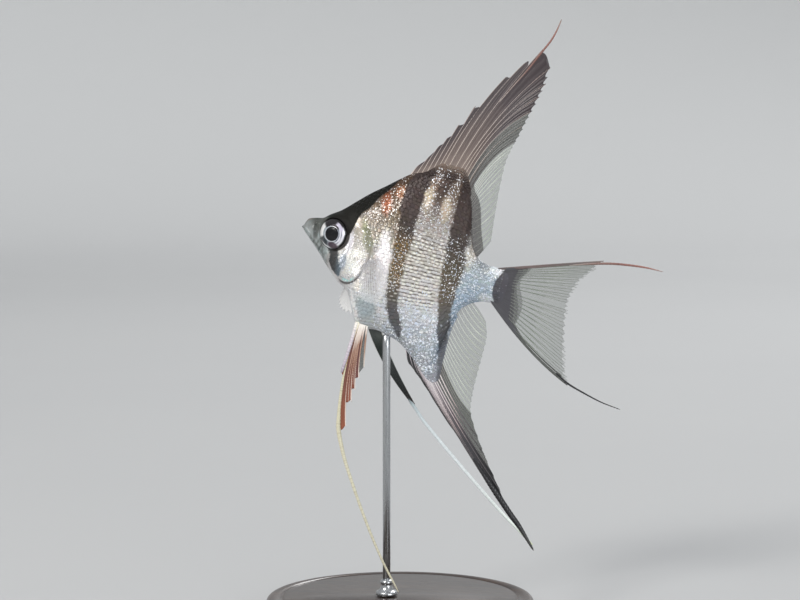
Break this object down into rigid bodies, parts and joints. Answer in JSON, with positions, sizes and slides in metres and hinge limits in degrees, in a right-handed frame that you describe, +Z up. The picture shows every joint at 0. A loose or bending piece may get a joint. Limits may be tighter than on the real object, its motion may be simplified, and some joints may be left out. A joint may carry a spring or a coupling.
{
  "type": "freshwater angelfish model",
  "caption": "Life-size still model of a silver, dark-barred freshwater angelfish with long trailing fins, on a round base with a slim rod.",
  "frame": {"origin": "centre of the stand base's flat underside", "axes": "+Z up, the fish heads towards -X, its left flank faces -Y"},
  "size_m": [0.1239, 0.084, 0.1861],
  "materials": {
    "skin": "painted scales, silver with dark bars, glossy",
    "eye": "silver iris, black pupil, glass-clear gloss",
    "dark_fin": "brown-grey membrane with paler rays, satin",
    "clear_fin": "see-through membrane with fine rays, satin",
    "streamer": "cream, satin",
    "stand_metal": "satin steel",
    "stand_base": "dark stained hardwood, satin"
  },
  "bodies": {
    "root": {"head": "skin", "lower_jaw": "skin", "gill_cover_left": "skin", "gill_cover_right": "skin", "trunk": "skin", "tail_peduncle": "skin", "eye_left": "eye", "eye_right": "eye", "dorsal_fin_front": "dark_fin", "dorsal_fin_rear": "clear_fin", "dorsal_filament": "dark_fin", "anal_fin_front": "dark_fin", "anal_fin_rear": "clear_fin", "anal_filament": "dark_fin", "tail_fin_upper": "clear_fin", "tail_fin_lower": "clear_fin", "tail_filament_upper": "dark_fin", "tail_filament_lower": "dark_fin", "pectoral_fin_left": "clear_fin", "pectoral_fin_right": "clear_fin", "pelvic_fin_left": "dark_fin", "pelvic_fin_right": "dark_fin", "pelvic_filament_left": "streamer", "pelvic_filament_right": "streamer", "stand_rod": "stand_metal", "stand_rod_foot": "stand_metal", "stand_base": "stand_base"}
  },
  "joints": []
}
